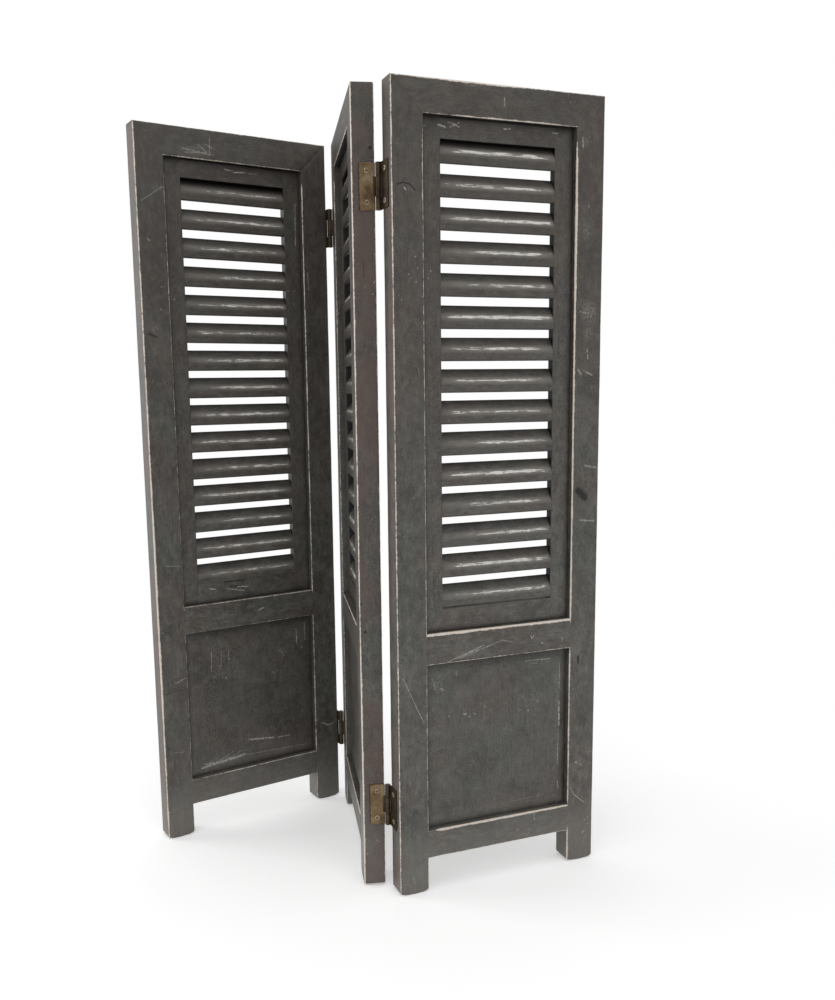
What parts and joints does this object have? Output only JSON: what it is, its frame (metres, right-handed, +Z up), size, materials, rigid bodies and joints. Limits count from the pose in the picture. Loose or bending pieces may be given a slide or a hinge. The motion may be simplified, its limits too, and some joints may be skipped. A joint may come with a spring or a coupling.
{
  "type": "folding louvred screen",
  "caption": "Free-standing wooden folding screen of hinged panels, each with fixed slanting slats above a raised lower board and two short feet.",
  "frame": {"origin": "middle of the base rectangle of the screen as it stands folded in the picture, on the floor", "axes": "+Z up; +X along the right panel's width, towards the screen's right; -Y the way the right panel's front faces"},
  "size_m": [0.3818, 0.249, 0.7],
  "materials": {
    "stained_wood": "charcoal stain, matt, rubbed pale along the arrises",
    "hinge_brass": "aged, brown and dull",
    "hinge_screws": "aged, a little brighter than the leaves"
  },
  "bodies": {
    "left_panel": {"left_panel_left_stile": "stained_wood", "left_panel_right_stile": "stained_wood", "left_panel_top_rail": "stained_wood", "left_panel_mid_rail": "stained_wood", "left_panel_bottom_rail": "stained_wood", "left_panel_lower_board": "stained_wood", "left_panel_louvre_side_strips": "stained_wood", "left_panel_louvre_end_strips": "stained_wood", "left_panel_slats": "stained_wood", "left_panel_hinge_screws": "hinge_screws", "left_hinge_lower_outer_leaf": "hinge_brass", "left_hinge_upper_outer_leaf": "hinge_brass"},
    "middle_panel": {"middle_panel_left_stile": "stained_wood", "middle_panel_right_stile": "stained_wood", "middle_panel_top_rail": "stained_wood", "middle_panel_mid_rail": "stained_wood", "middle_panel_bottom_rail": "stained_wood", "middle_panel_lower_board": "stained_wood", "middle_panel_louvre_side_strips": "stained_wood", "middle_panel_louvre_end_strips": "stained_wood", "middle_panel_slats": "stained_wood", "middle_panel_hinge_screws": "hinge_screws", "left_hinge_lower_inner_leaf": "hinge_brass", "left_hinge_upper_inner_leaf": "hinge_brass", "left_hinge_pins": "hinge_screws", "right_hinge_lower_inner_leaf": "hinge_brass", "right_hinge_upper_inner_leaf": "hinge_brass", "right_hinge_pins": "hinge_screws"},
    "right_panel": {"right_panel_left_stile": "stained_wood", "right_panel_right_stile": "stained_wood", "right_panel_top_rail": "stained_wood", "right_panel_mid_rail": "stained_wood", "right_panel_bottom_rail": "stained_wood", "right_panel_lower_board": "stained_wood", "right_panel_louvre_side_strips": "stained_wood", "right_panel_louvre_end_strips": "stained_wood", "right_panel_slats": "stained_wood", "right_panel_hinge_screws": "hinge_screws", "right_hinge_lower_outer_leaf": "hinge_brass", "right_hinge_upper_outer_leaf": "hinge_brass"}
  },
  "joints": [
    {"name": "left_hinge", "type": "hinge", "parent": "middle_panel", "child": "left_panel", "pos_m": [0.01193, 0.10316, 0], "axis": [0, 0, -1], "range_deg": [-65.5, 114.5]},
    {"name": "right_hinge", "type": "hinge", "parent": "middle_panel", "child": "right_panel", "pos_m": [-0.01162, -0.10201, 0], "axis": [0, 0, -1], "range_deg": [-76.5, 103.5]}
  ]
}
